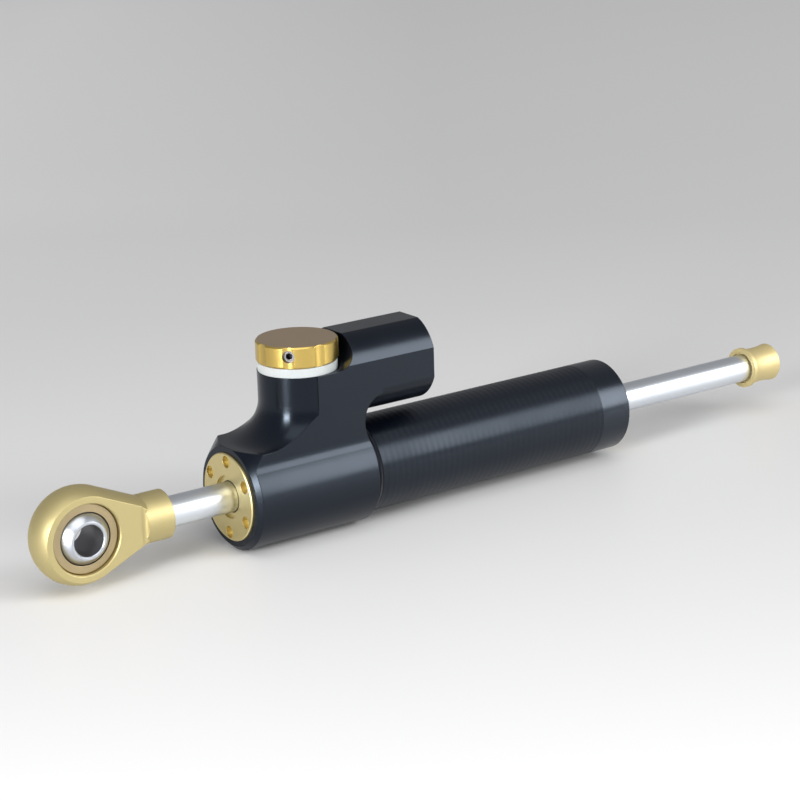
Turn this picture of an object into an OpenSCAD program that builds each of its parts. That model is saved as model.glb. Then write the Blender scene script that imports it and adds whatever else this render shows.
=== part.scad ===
// Linear steering damper with a through rod, a click adjuster and a reservoir barrel.
// X runs along the rod towards the stop cap, Z runs up through the adjuster.
// The origin is on the rod's axis, halfway along the tube's clamping surface.
// Stations named _x are distances behind the front gland's face, in millimetres.

/* [Rod] */
// Diameter of the chromed rod
rod_d = 10; // [8:0.5:12]
// Full travel of the rod
stroke = 90; // [60:1:120]
// Travel left towards the rear in the shown position
travel_in = 23; // [5:1:50]
// Gap between rod end and front gland at the end of travel
front_gap = 0.8; // [0.5:0.1:3]
// Gap between stop cap and tube at the end of travel
rear_gap = 1.5; // [0.5:0.1:3]
// Diameter of the threaded spigot in the rod end
front_spigot_d = 8; // [6:0.5:8]
// Length of the threaded spigot in the rod end
front_spigot_len = 10.5; // [8:0.5:12]
// Diameter of the threaded spigot in the stop cap
rear_spigot_d = 6; // [5:0.5:6]
// Depth of the rod's shoulder inside the stop cap
cap_socket = 3; // [2:0.5:4]
// Length of the threaded spigot in the stop cap
rear_spigot_len = 7; // [5:0.5:8]

/* [Piston] */
// Length of the piston
piston_len = 12; // [10:0.5:16]
// Radial gap between piston and cylinder
piston_gap = 0.15; // [0.1:0.05:0.3]
// Gap between piston and gland at the end of travel
piston_end_gap = 0.25; // [0.2:0.05:1]
// Width of the low-friction piston band
band_w = 6; // [4:0.5:7]
// Thickness of the piston band
band_t = 1; // [0.8:0.1:1.4]
// Thickness of the piston circlips
clip_t = 1.1; // [0.9:0.1:1.3]
// Depth of the circlip grooves in the rod
clip_groove = 0.6; // [0.4:0.1:0.8]
// Radial width of the piston circlips
clip_w = 1.9; // [1.6:0.1:2.2]

/* [Cylinder] */
// Outer diameter of the ribbed tube
tube_d = 31.8; // [31:0.1:33]
// Wall of the outer tube
tube_wall = 2.4; // [2.3:0.1:2.6]
// Chamfer on the rear edge of the tube
tube_chamfer = 0.8; // [0.4:0.1:1]
// Oil gap between the outer tube and the inner cylinder
annulus_gap = 1.2; // [0.8:0.1:1.6]
// Wall of the inner cylinder
liner_wall = 1.3; // [1:0.1:1.4]
// Radius of the oil ports in the inner cylinder
liner_port_r = 1.5; // [1:0.1:2]
// Step from the tube's full size down to its pilot in the housing
pilot_step = 0.2; // [0.1:0.05:0.4]
// Step from the pilot down to the tube's threaded end
thread_step = 0.3; // [0.2:0.05:0.4]
// Length of the tube's threaded end
tube_thread_len = 6; // [5:0.5:7]
// Gap between the housing's rear edge and the tube's full diameter
pilot_show = 0.3; // [0.2:0.1:1]

/* [Glands] */
// Step from the tube's bore up to the gland's flange
gland_lip = 0.9; // [0.7:0.1:1]
// Thickness of the gland's flange
flange_t = 3.5; // [3.4:0.1:4.5]
// Length of the gland's body from its face to the cylinder's shoulder
gland_body = 20; // [19.5:0.5:22]
// Length of the gland's nose inside the cylinder
gland_nose = 6.5; // [5:0.5:8]
// Height of the front gland above the housing
gland_proud = 0.8; // [0.4:0.1:1.2]
// Depth of the rear gland below the tube's edge
gland_recess = 0.6; // [0.3:0.1:1.2]
// Chamfer of the gland's edge
gland_chamfer = 0.3; // [0.2:0.05:0.5]
// Number of pin-spanner holes in each gland
spanner_holes = 6; // [4:1:8]
// Distance of the spanner holes' centres from the flange's edge
spanner_inset = 2.65; // [2.2:0.05:3]
// Diameter of the spanner holes
spanner_d = 4; // [3.5:0.1:4.2]
// Depth of the spanner holes
spanner_depth = 2.8; // [2:0.1:3]
// Radial width of the recess round the rod in the gland's face
face_gap = 2; // [1.4:0.1:2.4]
// Depth of the recess in the gland's face
face_gap_depth = 1; // [0.8:0.1:1.4]
// Thickness of the gland's wall between that recess and the wiper
wiper_cover = 0.9; // [0.6:0.1:1.2]
// Radial section of the wiper
wiper_t = 2.9; // [2.6:0.1:3.2]
// Length of the wiper
wiper_len = 3; // [2:0.1:3.4]
// Radial section of the rod seal
seal_t = 3.4; // [3:0.1:3.6]
// Length of the rod seal
seal_len = 3.5; // [3:0.1:4]
// Wall of the rod bush
bush_wall = 1.45; // [1:0.05:1.8]
// Length of the rod bush
bush_len = 12; // [8:0.5:14]
// Running gap between the rod and its bushes and seals
rod_gap = 0.03; // [0.02:0.01:0.05]

/* [Housing] */
// Wall of the housing's lower cylinder round the tube's pilot
ring_wall = 2.2; // [2:0.1:2.8]
// Station of the housing's rear edge
ring_end_x = 49.4; // [48:0.1:51]
// Chamfer on the front edge of the housing
ring_chamfer = 1.5; // [0.8:0.1:1.6]
// Wall left round the tube's pilot at the housing's rear edge
collar_wall = 0.4; // [0.3:0.1:1]
// Radius of the cove turned into the housing's rear
cove_r = 7.3; // [7.1:0.1:9]
// Distance of the cove's centre from the rod's axis
cove_h = 22.9; // [22.5:0.1:23.2]
// Width over the housing's side flats
body_w = 27.1; // [26.6:0.1:27.6]
// Fillet between the side flats and the lower cylinder
side_fillet = 6; // [4:0.5:8]
// Height of the floor in front of the tower
base_z = 16.2; // [15.8:0.1:16.6]

/* [Tower] */
// Station of the adjuster's axis
valve_x = 28.5; // [28:0.1:29]
// Diameter of the tower
tower_d = 26.3; // [26:0.1:26.6]
// Height of the tower's top face
tower_top = 37.5; // [37:0.1:39]
// Fillet between the tower and the floor in front of it
flare_r = 12; // [8:0.5:13]
// Distance by which the tower's turning stops short of its axis
flare_stop = 1.3; // [0.8:0.1:2]
// Gap between the adjuster knob and the pocket behind it
knob_room = 0.6; // [0.4:0.1:0.7]
// Fillet at the foot of the barrel's front wall
pocket_fillet = 7.5; // [5:0.5:8]

/* [Reservoir barrel] */
// Height of the barrel's axis above the rod
barrel_z = 33.8; // [33.6:0.1:35]
// Diameter of the barrel
barrel_d = 28.86; // [28.4:0.02:29.4]
// Height of the barrel's top flat above its axis
barrel_top = 13.5; // [13:0.1:14]
// Station of the barrel's rear end
barrel_end_x = 72.8; // [71:0.1:80]
// Bore of the reservoir
res_bore = 22; // [20:0.1:22.2]
// Wall between the reservoir and the web's front
res_wall = 3.7; // [3:0.1:5]

/* [Reservoir pieces] */
// Oil space in front of the floating piston
res_oil = 4; // [3.9:0.1:6]
// Length of the floating piston
res_piston_len = 6; // [5:0.1:7]
// Radial gap around the floating piston
res_gap = 0.05; // [0.03:0.01:0.1]
// Mean diameter of the reservoir spring
res_spring_d = 15; // [12:0.5:16]
// Wire diameter of the reservoir spring
res_wire_d = 1.2; // [0.8:0.1:1.4]
// Turns of the reservoir spring
res_turns = 4; // [3:1:5]
// Length of the reservoir plug
res_plug_len = 5.3; // [5:0.1:6]
// Thickness of the plug's circlip
res_clip_t = 1; // [0.8:0.1:1.2]
// Depth of the circlip's groove in the barrel
res_clip_groove = 0.8; // [0.6:0.1:1]
// Radial width of the plug's circlip
res_clip_w = 2.4; // [2:0.1:2.8]
// Width of the rim behind the circlip
res_rim = 0.5; // [0.4:0.1:0.8]
// Diameter of the fill screw
fill_d = 5; // [4:0.5:6]
// Hexagon socket of the fill screw, across flats
fill_hex = 2.5; // [2:0.1:2.5]

/* [Adjuster] */
// Diameter of the adjuster knob
knob_d = 26.6; // [26:0.1:26.8]
// Height of the knob
knob_h = 7; // [6:0.1:8]
// Number of flutes round the knob
knob_flutes = 8; // [6:1:12]
// Depth of the flutes
flute_depth = 0.55; // [0.3:0.05:0.9]
// Radius of the flutes
flute_r = 4.5; // [4:0.5:8]
// Chamfer on the knob's top and bottom edge
knob_chamfer = 0.5; // [0.2:0.05:0.6]
// Outer diameter of the white ring
washer_d = 25.8; // [25.4:0.1:26]
// Height of the white ring
washer_h = 2.9; // [2.5:0.1:3.2]
// Wall of the white ring
washer_wall = 2.7; // [2.2:0.1:2.8]
// Gap between the knob and the white ring
knob_gap = 0.1; // [0.08:0.01:0.3]
// Diameter of the knob's grub screw
grub_d = 4; // [3:0.5:4]
// Hexagon socket of the grub screw, across flats
grub_hex = 2; // [1.5:0.1:2]
// Direction of the grub screw
grub_angle = -135; // [-180:5:180]
// Height of the grub screw below the knob's top
grub_drop = 3.1; // [2.6:0.1:3.4]

/* [Valve] */
// Bore for the valve in the tower
valve_bore = 12.2; // [11.6:0.1:12.4]
// Height of the valve bore's floor
valve_floor = 15.2; // [15:0.1:15.6]
// Diameter of the hole from the valve to the cylinder
valve_port_d = 5; // [3:0.5:5]
// Height of the valve bush
valve_bush_h = 16; // [15:0.5:16.5]
// Wall of the valve bush
valve_bush_wall = 2.55; // [2:0.05:2.8]
// Height of the spindle's sealing head
spindle_head_h = 3.4; // [3:0.1:3.6]
// Diameter of the spindle's stem
stem_d = 6; // [5:0.5:6.5]
// Height of the metering port above the valve bore's floor
meter_h = 4; // [3:0.5:5]
// Height of the reservoir port above the valve bore's floor
bleed_h = 11.5; // [10.5:0.5:12]
// Radius of the drilled oil channels
channel_r = 1.2; // [0.8:0.1:1.4]
// Thickness of the spindle's circlip
valve_clip_t = 0.9; // [0.7:0.1:1]

/* [Click stop] */
// Diameter of the click ball
ball_d = 3; // [2.5:0.1:3]
// Radius of the click track
track_r = 7.9; // [7.8:0.1:8.2]
// Depth of the click track in the tower's top
track_depth = 0.5; // [0.3:0.05:0.7]
// Depth of each dimple below the track
dimple_depth = 0.3; // [0.2:0.05:0.4]
// Number of dimples in a full turn
dimples = 24; // [12:1:24]
// Direction of the click ball
click_angle = 45; // [0:5:90]
// Wire diameter of the click spring
click_wire_d = 0.4; // [0.3:0.05:0.5]
// Turns of the click spring
click_turns = 5; // [4:1:6]

/* [Rod end] */
// Diameter of the rod end's shank
shank_d = 15.9; // [14:0.1:16]
// Length of the round shank
shank_len = 9.2; // [8:0.1:12]
// Distance from the shank's face to the eye's centre
eye_reach = 29.8; // [29:0.1:36]
// Outer diameter of the eye
eye_d = 31.4; // [31:0.1:36]
// Thickness of the eye between its flats
eye_t = 12.5; // [12:0.1:13]
// Radius of the eye's crowned rim
crown_r = 10.5; // [9:0.1:12]
// Half the height of the shoulders where they meet the shank
neck_h = 8; // [7.8:0.1:8.6]
// Radius that the flats leave in the shank
mill_r = 2; // [1:0.1:3]
// Outer diameter of the bearing race
race_d = 22.6; // [22:0.1:23.2]
// Width of the bearing race
race_w = 9.8; // [9.4:0.1:11.6]
// Diameter of the bearing ball
bearing_ball_d = 19.05; // [18.5:0.05:19.3]
// Width of the bearing ball
bearing_ball_w = 14.8; // [14:0.1:15.2]
// Bore of the bearing ball
bolt_d = 10; // [8:0.5:10]
// Thickness of the bearing liner
bearing_liner_t = 0.25; // [0.2:0.01:0.3]
// Width of the bearing liner
bearing_liner_w = 7; // [5:0.1:7.4]

/* [Stop cap] */
// Length of the stop cap
cap_len = 13.4; // [12:0.1:16]
// Diameter of the cap's flange
cap_d = 14.7; // [14:0.1:16]
// Length of the cap's flange
cap_rim = 1.3; // [1:0.1:2]
// Diameter of the cap behind its flange
cap_body_d = 13.8; // [13.4:0.1:14]
// Diameter of the cap's waist
cap_waist_d = 12.7; // [12.4:0.1:13]
// Distance of the waist from the cap's front
cap_waist_x = 7.4; // [6.5:0.1:7.5]
// Rounding of the cap's rear edge
cap_round = 0.5; // [0.3:0.1:0.8]

/* [O-rings] */
// Section of the gland O-rings
gland_cord = 1.44; // [1.2:0.02:1.6]
// Section of the tube O-ring
tube_cord = 1; // [0.8:0.05:1.1]
// Section of the reservoir O-rings
res_cord = 1.4; // [1.2:0.05:1.6]
// Section of the spindle O-ring
spindle_cord = 1.2; // [1:0.05:1.4]

/* [Hidden] */
$fn = 96;

// Overshoot of a cut beyond the face that it opens
eps = 0.5;
// Assembly gap between fixed pieces that fit into each other
fit = 0.05;
// Length of wall between a seal's groove and the next
land = 2;
// Extra depth of a blind hole past the screw in it
hole_end = 1;
// Gap between pieces that touch
touch = 0.02;
// Depth by which a round cut runs into the cylinder that it blends with
overcut = 0.01;
// Gap between the rod and the bare metal round it
rod_clearance = 0.3;
// Depth of the piston circlips below the piston's faces
clip_sink = 0.2;
// Gap between a spring's end turn and the next
end_gap = 0.45;
// Chamfer of the rod's threaded spigots
spigot_chamfer = 0.5;
// Height of the hexagon sockets' bottom above the screw's inner end
socket_floor = 2.5;
// Depth of the spindle circlip's groove
valve_groove = 0.6;
// Gap below the valve spindle and below its head
spindle_gap = 0.2;
// Radial width of the spindle's circlip
valve_clip_w = 2.2;
// Length of the shank that is buried between the eye's shoulders
shank_root = 5;
// Thickness of the knob over the spindle's top
knob_cap = 1.15;
// Thickness of the knob over the click spring
click_cap = 2.2;
// Gap between the knob's hub and the white ring
hub_gap = 0.3;
// Gap between the knob's hub and the tower's top
hub_lift = 0.6;
// Depth of the grub screw below the flute that it sits in
grub_sink = 0.9;
// Opening of the snap rings
clip_mouth = 3;
// Distance of the upright oil channel from the wall on either side
channel_step = 1.5;
// Distance from a shoulder to the piece that sits behind it
seat_step = 1;

// Length of the groove for an O-ring of the given section
function groove_len(cord) = 1.3 * cord;

// Diameters from the tube inwards and outwards
tube_bore = tube_d - 2 * tube_wall;
liner_bore = tube_bore - 2 * annulus_gap - 2 * liner_wall;
pilot_d = tube_d - 2 * pilot_step;
tube_thread_d = pilot_d - 2 * thread_step;
gland_d = tube_bore + 2 * gland_lip;
spanner_pcd = gland_d - 2 * spanner_inset;
ring_d = pilot_d + 2 * ring_wall;

// Lengths along the rod
rod_r = rod_d / 2;
gland_len = gland_body + gland_nose;
chamber_len = stroke + piston_len + 2 * piston_end_gap;
rear_face_x = 2 * gland_len + chamber_len;
tube_end_x = rear_face_x + gland_recess;
seat_x = ring_end_x + pilot_show;
seat_len = tube_end_x - tube_chamfer - seat_x;
face_x = -(seat_x + seat_len / 2);
collar_r = pilot_d / 2 + collar_wall;
cove_x = ring_end_x + sqrt(pow(cove_r, 2) - pow(cove_h - collar_r, 2));
shank_face_x = -(travel_in + front_gap);
cap_face_x = tube_end_x + stroke - travel_in + rear_gap;
piston_x = gland_len + piston_end_gap + stroke - travel_in;
clip_recess = clip_t + clip_sink;
eye_x = shank_face_x - eye_reach;

// Lengths inside the housing
ring_r = ring_d / 2;
half_w = body_w / 2;
barrel_r = barrel_d / 2;
tower_r = tower_d / 2;
liner_r = liner_bore / 2 + liner_wall;
liner_seat_x = gland_body + seat_step;
annulus_x = valve_x + valve_port_d / 2 + land;
channel_x = annulus_x + channel_step;
thread_x = channel_x + channel_step;
pilot_x = thread_x + tube_thread_len;
tube_groove_x = pilot_x + seat_step;
pocket_x = valve_x + knob_d / 2 + knob_room;
res_floor_x = pocket_x + res_wall;
res_piston_x = res_floor_x + res_oil;
res_clip_x = barrel_end_x - res_rim - res_clip_t;
res_plug_x = res_clip_x - res_plug_len;
res_r = res_bore / 2;
res_groove_r = res_r - touch - res_cord - fit;

// Heights in the tower
knob_z = tower_top + washer_h + knob_gap;
knob_top = knob_z + knob_h;
valve_r = valve_bore / 2;
head_z = valve_floor + valve_bush_h + spindle_gap;
valve_clip_z = head_z + spindle_head_h + fit;
spindle_r = valve_r - fit - valve_bush_wall - fit;
stem_r = stem_d / 2;
hub_r = washer_d / 2 - washer_wall - hub_gap;
hub_z = tower_top + hub_lift;
valve_groove_r = valve_r + valve_groove;
ball_r = ball_d / 2;
ball_z = tower_top - track_depth + ball_r + rod_gap;
click_top = knob_top - click_cap;
click_spring_z = ball_z + sqrt(pow(ball_r, 2) - pow(ball_r - fit - 1.5 * click_wire_d, 2));

// Rod end and cap
eye_r = eye_d / 2;
neck_reach = eye_reach - shank_len;
neck_dist = norm([neck_reach, neck_h]);
neck_angle = atan2(neck_h, neck_reach) + acos(eye_r / neck_dist);
neck_len = sqrt(pow(neck_dist, 2) - pow(eye_r, 2));
liner_gap = 0.04;
race_sphere_r = bearing_ball_d / 2 + bearing_liner_t + 2 * liner_gap;

// Local z runs along the rod from the given station
module along_rod(x) {
    translate([face_x + x, 0, 0]) rotate([0, 90, 0]) children();
}

// Round solid on the rod's axis between two stations
module disc(r, x0, x1) {
    along_rod(x0) cylinder(r = r, h = x1 - x0);
}

// Round sleeve on the rod's axis between two stations
module sleeve(r_out, r_in, x0, x1) {
    along_rod(x0) tube_shape(r_out, r_in, x1 - x0);
}

// Round sleeve that stands on the origin
module tube_shape(r_out, r_in, h) {
    difference() {
        cylinder(r = r_out, h = h);
        translate([0, 0, -eps]) cylinder(r = r_in, h = h + 2 * eps);
    }
}

// Round solid on the barrel's axis between two stations
module barrel_disc(r, x0, x1) {
    translate([0, 0, barrel_z]) disc(r, x0, x1);
}

// Place on the adjuster's axis at the given height
module on_valve(z) {
    translate([face_x + valve_x, 0, z]) children();
}

// O-ring round the local z axis whose outside touches a bore
module oring(outside_r, cord) {
    rotate_extrude() translate([outside_r - cord / 2, 0]) circle(d = cord, $fn = 32);
}

// Snap ring with a gap, round the local z axis
module circlip(r_out, r_in, t, gap) {
    difference() {
        tube_shape(r_out, r_in, t);
        translate([0, -gap / 2, -eps]) cube([r_out + eps, gap, t + 2 * eps]);
    }
}

// Share of a spring's open part that lies below the given turn
function coil_rise(u, turns) = u < 1 ? 0 : u > turns - 1 ? 1 : (u - 1) / (turns - 2);

// Height that the two close end turns add up to the given turn
function end_rise(u, turns, pitch) = pitch * (min(u, 1) + max(u - turns + 1, 0));

// Centre height of a spring's wire at the given turn
function coil_z(u, wire, h, turns) =
    let (pitch = wire + end_gap)
    wire / 2 + end_rise(u, turns, pitch) + coil_rise(u, turns) * (h - wire - 2 * pitch);

// Compression spring of one unbroken wire, round the z axis
module coil(r, wire, h, turns) {
    rings = 16;
    sides = 8;
    last = rings * turns;
    points = [
        for (i = [0:last], k = [0:sides - 1])
            let (u = i / rings, a = 360 * k / sides, reach = r + wire / 2 * cos(a))
            [
                reach * cos(360 * u),
                reach * sin(360 * u),
                coil_z(u, wire, h, turns) + wire / 2 * sin(a)
            ]
    ];
    walls = [
        for (i = [0:last - 1], k = [0:sides - 1])
            let (m = (k + 1) % sides, a = i * sides + k, b = i * sides + m)
            each [[a, b, b + sides], [a, b + sides, a + sides]]
    ];
    start_cap = [for (k = [1:sides - 2]) [0, k + 1, k]];
    end_cap = [for (k = [1:sides - 2]) [last * sides, last * sides + k, last * sides + k + 1]];
    polyhedron(points = points, faces = concat(walls, start_cap, end_cap), convexity = 6);
}

// Hexagon socket cut, downwards from the origin
module hex_socket(across, depth) {
    translate([0, 0, -depth]) cylinder(d = across / cos(30), h = depth + eps, $fn = 6);
}

// Housing: outer block before it is machined
module housing_blank() {
    side_y = half_w + side_fillet;
    side_z = sqrt(pow(ring_r + side_fillet - overcut, 2) - pow(side_y, 2));
    foot_y = ring_r * side_y / (ring_r + side_fillet);
    difference() {
        union() {
            disc(ring_r, gland_proud, cove_x);
            translate([face_x + gland_proud, 0, 0]) rotate([90, 0, 90])
                linear_extrude(cove_x - gland_proud) {
                    translate([-half_w, 0]) square([body_w, tower_top]);
                    for (side = [-1, 1]) difference() {
                        translate([side > 0 ? 0 : -foot_y, 0]) square([foot_y, side_z]);
                        translate([side * side_y, side_z]) circle(r = side_fillet);
                    }
                }
        }
        rear_cove();
    }
    intersection() {
        barrel_disc(barrel_r, valve_x, barrel_end_x);
        translate([face_x + valve_x, -half_w, 0])
            cube([barrel_end_x, body_w, barrel_z + barrel_top]);
    }
}

// Cove turned into the housing's rear, and all that lies behind its collar
module rear_cove() {
    along_rod(0) rotate_extrude() {
        translate([cove_h, cove_x]) circle(r = cove_r);
        translate([0, ring_end_x]) square([cove_h, cove_r]);
    }
}

// Everything in front of the tower that is milled away above the floor
module front_milling() {
    difference() {
        translate([face_x - eps, -ring_r, base_z])
            cube([valve_x - flare_stop + eps, ring_d, tower_top]);
        on_valve(base_z - eps) rotate_extrude() {
            square([tower_r, tower_top]);
            difference() {
                square([tower_r + flare_r, flare_r + eps]);
                translate([tower_r + flare_r, flare_r + eps]) circle(r = flare_r);
            }
        }
    }
}

// Pocket behind the knob
module knob_pocket() {
    translate([face_x, ring_r, tower_top]) rotate([90, 0, 0]) linear_extrude(ring_d) {
        square([pocket_x - pocket_fillet, barrel_r + pocket_fillet]);
        translate([0, pocket_fillet]) square([pocket_x, barrel_r]);
        translate([pocket_x - pocket_fillet, pocket_fillet]) circle(r = pocket_fillet);
    }
    on_valve(tower_top) cylinder(r = knob_d / 2 + knob_room, h = barrel_r);
}

// Front chamfer, which also trims the shoulders
module front_chamfer() {
    r0 = ring_r - ring_chamfer;
    reach = 10;
    along_rod(gland_proud) rotate_extrude()
        polygon([[r0 - eps, -eps], [r0 + reach, -eps], [r0 + reach, reach], [r0, 0]]);
}

// Bores for glands, cylinder and tube
module housing_bores() {
    disc(gland_d / 2 + fit, 0, flange_t + fit);
    disc(tube_bore / 2, flange_t, liner_seat_x);
    disc(liner_r + fit, liner_seat_x - eps, annulus_x + eps);
    disc(tube_bore / 2, annulus_x, thread_x + eps);
    disc(tube_thread_d / 2 + fit, thread_x, pilot_x + eps);
    disc(pilot_d / 2 + fit, pilot_x, ring_end_x + eps);
}

// Bores and channels of the valve
module valve_bores() {
    on_valve(valve_floor) cylinder(r = valve_r, h = tower_top);
    on_valve(liner_r - eps) cylinder(d = valve_port_d, h = valve_floor);
    on_valve(valve_clip_z - fit) cylinder(r = valve_groove_r, h = valve_clip_t + 2 * fit);
    on_valve(valve_floor + meter_h) rotate([0, 90, 0])
        cylinder(r = channel_r, h = channel_x - valve_x);
    translate([face_x + channel_x, 0, liner_r])
        cylinder(r = channel_r, h = valve_floor + meter_h - liner_r);
    on_valve(valve_floor + bleed_h) rotate([0, 90, 0])
        cylinder(r = channel_r, h = res_floor_x + eps - valve_x);
}

// Track and dimples for the click ball
module click_track() {
    groove_r = ball_r + rod_gap;
    on_valve(ball_z) rotate_extrude() translate([track_r, 0]) circle(r = groove_r);
    for (i = [0:dimples - 1])
        on_valve(ball_z - dimple_depth) rotate([0, 0, click_angle + 360 * i / dimples])
            translate([track_r, 0, 0]) sphere(r = groove_r, $fn = 48);
}

// Bore of the reservoir and its circlip groove
module reservoir_bore() {
    barrel_disc(res_r, res_floor_x, barrel_end_x + eps);
    barrel_disc(res_r + res_clip_groove, res_clip_x - fit, res_clip_x + res_clip_t + fit);
}

module valve_housing() {
    color("#23262b") difference() {
        housing_blank();
        front_milling();
        knob_pocket();
        front_chamfer();
        housing_bores();
        valve_bores();
        click_track();
        reservoir_bore();
    }
}

module outer_tube() {
    r = tube_d / 2;
    groove_x = tube_groove_x;
    color("#24272d") difference() {
        along_rod(0) rotate_extrude() polygon([
            [0, thread_x + fit], [tube_thread_d / 2, thread_x + fit],
            [tube_thread_d / 2, pilot_x + fit], [pilot_d / 2, pilot_x + fit],
            [pilot_d / 2, seat_x], [r, seat_x],
            [r, tube_end_x - tube_chamfer], [r - tube_chamfer, tube_end_x], [0, tube_end_x]
        ]);
        disc(tube_bore / 2, 0, tube_end_x);
        disc(gland_d / 2 + fit, rear_face_x - flange_t - fit, tube_end_x + eps);
        sleeve(pilot_d, pilot_d / 2 - tube_cord - fit, groove_x, groove_x + groove_len(tube_cord));
    }
}

module tube_oring() {
    color("#1b1b1b") along_rod(tube_groove_x + groove_len(tube_cord) / 2) oring(pilot_d / 2, tube_cord);
}

module inner_cylinder() {
    x0 = gland_body;
    x1 = rear_face_x - gland_body;
    color("#b9bcc0") difference() {
        sleeve(liner_r, liner_bore / 2, x0, x1);
        on_valve(0) cylinder(d = valve_port_d, h = liner_r + 1);
        for (a = [0:90:270])
            along_rod(x1 - gland_nose - liner_port_r - 0.5) rotate([0, 0, a]) rotate([0, 90, 0])
                cylinder(r = liner_port_r, h = liner_r + 1);
    }
}

// Gland from its face inwards along local z
module gland() {
    r = gland_d / 2;
    body_r = tube_bore / 2 - fit;
    nose_r = liner_bore / 2 - fit;
    c = gland_chamfer;
    groove = groove_len(gland_cord);
    difference() {
        rotate_extrude() polygon([
            [0, 0], [r - c, 0], [r, c], [r, flange_t], [body_r, flange_t],
            [body_r, gland_body], [nose_r, gland_body], [nose_r, gland_len], [0, gland_len]
        ]);
        translate([0, 0, -eps]) cylinder(r = rod_r + rod_clearance, h = gland_len + 2 * eps);
        translate([0, 0, -eps]) cylinder(r = rod_r + face_gap, h = face_gap_depth + eps);
        translate([0, 0, wiper_z()]) cylinder(r = rod_r + wiper_t + fit, h = wiper_len);
        translate([0, 0, seal_z()]) cylinder(r = rod_r + seal_t + fit, h = seal_len);
        translate([0, 0, bush_z()]) cylinder(r = bush_r(), h = gland_len);
        translate([0, 0, gland_oring_z() - groove / 2])
            tube_shape(r, body_r + fit - gland_cord, groove);
        for (i = [0:spanner_holes - 1])
            rotate([0, 0, 360 * i / spanner_holes]) translate([spanner_pcd / 2, 0, -eps])
                cylinder(d = spanner_d, h = spanner_depth + eps, $fn = 32);
    }
}

// Depths of the pieces in a gland, from its face
function wiper_z() = face_gap_depth + wiper_cover;
function seal_z() = wiper_z() + wiper_len + land;
function bush_z() = seal_z() + seal_len + land;
function bush_r() = rod_r + rod_gap + bush_wall + fit;
function gland_oring_z() = gland_body - land - groove_len(gland_cord) / 2;

// Frame of the front gland: local z runs inwards from its face
module in_front_gland(z) {
    along_rod(z) children();
}

// Frame of the rear gland: local z runs inwards from its face
module in_rear_gland(z) {
    along_rod(rear_face_x - z) mirror([0, 0, 1]) children();
}

// Wiper with an open lip, from its outer end along local z
module wiper() {
    lip = wiper_t / 3;
    difference() {
        tube_shape(rod_r + wiper_t, rod_r + rod_gap, wiper_len);
        translate([0, 0, -eps]) tube_shape(rod_r + 2 * lip, rod_r + lip, lip + eps);
    }
}

// Rod seal with a cup groove on its pressure side
module rod_seal() {
    lip = seal_t / 3;
    difference() {
        tube_shape(rod_r + seal_t, rod_r + rod_gap, seal_len - fit);
        translate([0, 0, seal_len / 2]) tube_shape(rod_r + 2 * lip, rod_r + lip, seal_len);
    }
}

module rod_bush() {
    tube_shape(bush_r() - fit, rod_r + rod_gap, bush_len);
}

module gland_oring() {
    oring(tube_bore / 2 - touch, gland_cord - 2 * touch);
}

module front_gland() {
    color("#d9c37a") in_front_gland(0) rotate([0, 0, 180]) gland();
}

module front_wiper() {
    color("#1d1d1f") in_front_gland(wiper_z()) wiper();
}

module front_rod_seal() {
    color("#2b5f4a") in_front_gland(seal_z()) rod_seal();
}

module front_rod_bush() {
    color("#a8804a") in_front_gland(bush_z()) rod_bush();
}

module front_gland_oring() {
    color("#1b1b1b") in_front_gland(gland_oring_z()) gland_oring();
}

module rear_gland() {
    color("#d9c37a") in_rear_gland(0) gland();
}

module rear_wiper() {
    color("#1d1d1f") in_rear_gland(wiper_z()) wiper();
}

module rear_rod_seal() {
    color("#2b5f4a") in_rear_gland(seal_z()) rod_seal();
}

module rear_rod_bush() {
    color("#a8804a") in_rear_gland(bush_z()) rod_bush();
}

module rear_gland_oring() {
    color("#1b1b1b") in_rear_gland(gland_oring_z()) gland_oring();
}

module piston_rod() {
    r = rod_r;
    g = rod_r - clip_groove;
    w = clip_t + 2 * fit;
    x0 = piston_x + clip_sink - fit;
    x1 = piston_x + piston_len - clip_recess - fit;
    front_x = shank_face_x - front_spigot_len;
    front_r = front_spigot_d / 2;
    cap_x = cap_face_x + cap_socket;
    rear_x = cap_x + rear_spigot_len;
    rear_r = rear_spigot_d / 2;
    c = spigot_chamfer;
    color("#cfd4da") along_rod(0) rotate_extrude() polygon([
        [0, front_x], [front_r - c, front_x], [front_r, front_x + c], [front_r, shank_face_x],
        [r, shank_face_x], [r, x0], [g, x0], [g, x0 + w], [r, x0 + w],
        [r, x1], [g, x1], [g, x1 + w], [r, x1 + w], [r, cap_x],
        [rear_r, cap_x], [rear_r, rear_x - c], [rear_r - c, rear_x], [0, rear_x]
    ]);
}

module piston() {
    r = liner_bore / 2 - piston_gap;
    band_x = piston_x + (piston_len - band_w) / 2 - fit;
    clip_r = rod_r - clip_groove + clip_w + clip_sink;
    color("#9aa0a6") difference() {
        sleeve(r, rod_r + touch, piston_x, piston_x + piston_len);
        disc(clip_r, piston_x - eps, piston_x + clip_recess);
        disc(clip_r, piston_x + piston_len - clip_recess, piston_x + piston_len + eps);
        sleeve(r + eps, liner_bore / 2 - fit - band_t - fit, band_x, band_x + band_w + 2 * fit);
    }
}

module piston_circlips() {
    r = rod_r - clip_groove;
    for (x = [piston_x + clip_sink, piston_x + piston_len - clip_recess])
        color("#6d7075") along_rod(x) circlip(r + clip_w, r + touch, clip_t, clip_mouth);
}

module piston_band() {
    x = piston_x + (piston_len - band_w) / 2;
    color("#3b5a78") sleeve(liner_bore / 2 - fit, liner_bore / 2 - fit - band_t, x, x + band_w);
}

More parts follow.
